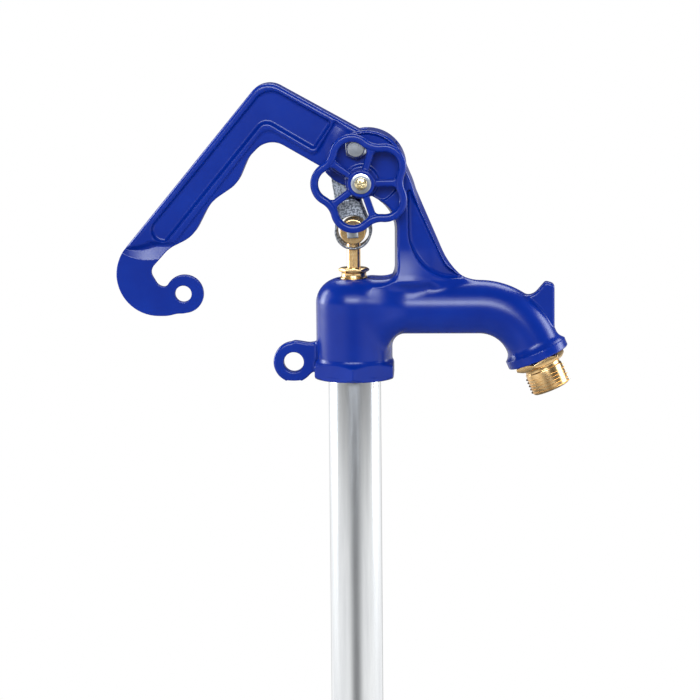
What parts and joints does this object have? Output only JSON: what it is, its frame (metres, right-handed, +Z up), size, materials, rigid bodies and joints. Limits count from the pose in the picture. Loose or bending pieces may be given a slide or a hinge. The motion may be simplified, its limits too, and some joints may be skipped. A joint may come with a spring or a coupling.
{
  "type": "garden standpipe",
  "caption": "Frost-proof garden standpipe: cast lever head with curved spout and hose thread on a galvanised riser pipe, with a plunger valve at its foot.",
  "frame": {"origin": "centre of the mouth of the female inlet thread, under the foot valve", "axes": "+Z up the riser pipe, +X towards the spout, -Y towards the flow-lock wheel"},
  "size_m": [0.2884, 0.0603, 1.0693],
  "materials": {
    "blue_enamel": "gloss ultramarine enamel over cast iron",
    "galvanised_pipe": "smooth galvanised steel pipe",
    "cast_brass": "plain cast and turned brass",
    "bright_brass": "bright turned brass",
    "graphite_packing": "graphited packing",
    "zinc_plate": "bright zinc plated steel",
    "hot_dip_zinc": "rough hot-dip galvanised casting",
    "black_rubber": "black nitrile rubber",
    "grey_nylon": "dull nylon"
  },
  "bodies": {
    "standpipe": {"head_casting": "blue_enamel", "riser_pipe": "galvanised_pipe", "valve_body": "cast_brass", "hose_nozzle": "bright_brass", "packing_nut": "bright_brass", "packing_washer": "bright_brass", "stem_packing": "graphite_packing", "fulcrum_bolt": "zinc_plate", "fulcrum_washer": "zinc_plate", "fulcrum_nut": "zinc_plate"},
    "lever": {"lever": "blue_enamel", "link_pin": "zinc_plate"},
    "link": {"link": "hot_dip_zinc"},
    "plunger_rod": {"barrel": "bright_brass", "set_screw": "zinc_plate", "stem": "bright_brass", "stem_nut": "cast_brass", "rod_coupling": "cast_brass", "operating_rod": "galvanised_pipe", "plunger_nut": "zinc_plate", "plunger": "cast_brass", "drain_seal": "black_rubber", "foot_seal": "black_rubber", "foot_screw": "bright_brass"},
    "lock_pad": {"lock_pad": "grey_nylon"},
    "flow_wheel": {"lock_stud": "bright_brass", "flow_wheel": "blue_enamel", "wheel_washer": "zinc_plate", "wheel_screw": "zinc_plate"}
  },
  "joints": [
    {"name": "lever_swing", "type": "hinge", "parent": "standpipe", "child": "lever", "pos_m": [0.0026, 0, 1.029], "axis": [0, 1, 0], "range_deg": [-33.3, 20]},
    {"name": "link_swing", "type": "hinge", "parent": "lever", "child": "link", "pos_m": [-0.0095, 0, 1.029], "axis": [0, 1, 0], "range_deg": [-22, 36]},
    {"name": "plunger_lift", "type": "slide", "parent": "standpipe", "child": "plunger_rod", "axis": [0, 0, 1], "range_m": [-0.007, 0.0045]},
    {"name": "lock_feed", "type": "slide", "parent": "standpipe", "child": "lock_pad", "axis": [0, 1, 0], "range_m": [-0.0015, 0.00038]},
    {"name": "lock_turn", "type": "hinge", "parent": "lock_pad", "child": "flow_wheel", "pos_m": [0.0061, 0, 1.0076], "axis": [0, 1, 0], "range_deg": [-361, 91]}
  ],
  "couplings": [
    {"joint": "link_swing", "follows": "lever_swing", "ratio": -1.03},
    {"joint": "plunger_lift", "follows": "lever_swing", "m_per_rad": 0.0119},
    {"joint": "lock_turn", "follows": "lock_feed", "rad_per_m": 4188.8}
  ]
}
